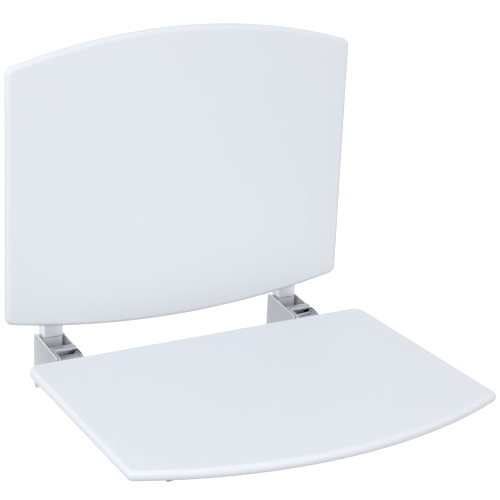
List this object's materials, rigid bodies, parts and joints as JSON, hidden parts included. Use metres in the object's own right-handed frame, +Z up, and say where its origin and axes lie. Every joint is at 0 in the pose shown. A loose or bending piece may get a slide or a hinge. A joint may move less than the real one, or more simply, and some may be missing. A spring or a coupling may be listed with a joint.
{
  "type": "fold-up shower seat",
  "caption": "White fold-up shower seat with a bowed front and a fixed backrest, on two polished wall brackets with hinged arms.",
  "frame": {"origin": "On the face of the wall, on the seat's middle line, at the height of the seat's top face in use.", "axes": "+X along the wall towards the right bracket in the picture, +Y into the wall, +Z up. The seat points to -Y."},
  "size_m": [0.4604, 0.4168, 0.4351],
  "materials": {
    "white_board": "satin white, mineral-filled resin",
    "chrome": "polished chrome plate",
    "stainless_steel": "brushed",
    "brass": "turned, knurled outside",
    "dark_plastic": "fine matte",
    "nylon": "natural nylon",
    "rubber": "matte black"
  },
  "bodies": {
    "wall_side": {"backrest_board": "white_board", "wall_bracket_left": "chrome", "wall_plate_left": "stainless_steel", "bracket_grub_screw_left": "stainless_steel", "backrest_post_left": "chrome", "post_plug_left": "stainless_steel", "post_bolt_left": "stainless_steel", "post_cap_left": "dark_plastic", "stop_buffer_left": "rubber", "hinge_pin_left": "stainless_steel", "backrest_screw_left_lower": "stainless_steel", "backrest_insert_left_lower": "brass", "backrest_screw_left_upper": "stainless_steel", "backrest_insert_left_upper": "brass", "wall_bracket_right": "chrome", "wall_plate_right": "stainless_steel", "bracket_grub_screw_right": "stainless_steel", "backrest_post_right": "chrome", "post_plug_right": "stainless_steel", "post_bolt_right": "stainless_steel", "post_cap_right": "dark_plastic", "stop_buffer_right": "rubber", "hinge_pin_right": "stainless_steel", "backrest_screw_right_lower": "stainless_steel", "backrest_insert_right_lower": "brass", "backrest_screw_right_upper": "stainless_steel", "backrest_insert_right_upper": "brass"},
    "seat": {"seat_board": "white_board", "seat_arm_left": "chrome", "arm_end_cap_left": "dark_plastic", "hinge_bush_left_left": "nylon", "hinge_bush_left_right": "nylon", "seat_screw_left_rear": "stainless_steel", "seat_insert_left_rear": "brass", "seat_screw_left_middle": "stainless_steel", "seat_insert_left_middle": "brass", "seat_screw_left_front": "stainless_steel", "seat_insert_left_front": "brass", "seat_arm_right": "chrome", "arm_end_cap_right": "dark_plastic", "hinge_bush_right_left": "nylon", "hinge_bush_right_right": "nylon", "seat_screw_right_rear": "stainless_steel", "seat_insert_right_rear": "brass", "seat_screw_right_middle": "stainless_steel", "seat_insert_right_middle": "brass", "seat_screw_right_front": "stainless_steel", "seat_insert_right_front": "brass"}
  },
  "joints": [
    {"name": "seat_fold", "type": "hinge", "parent": "wall_side", "child": "seat", "pos_m": [0, -0.052, -0.0175], "axis": [-1, 0, 0], "range_deg": [0, 90]}
  ]
}
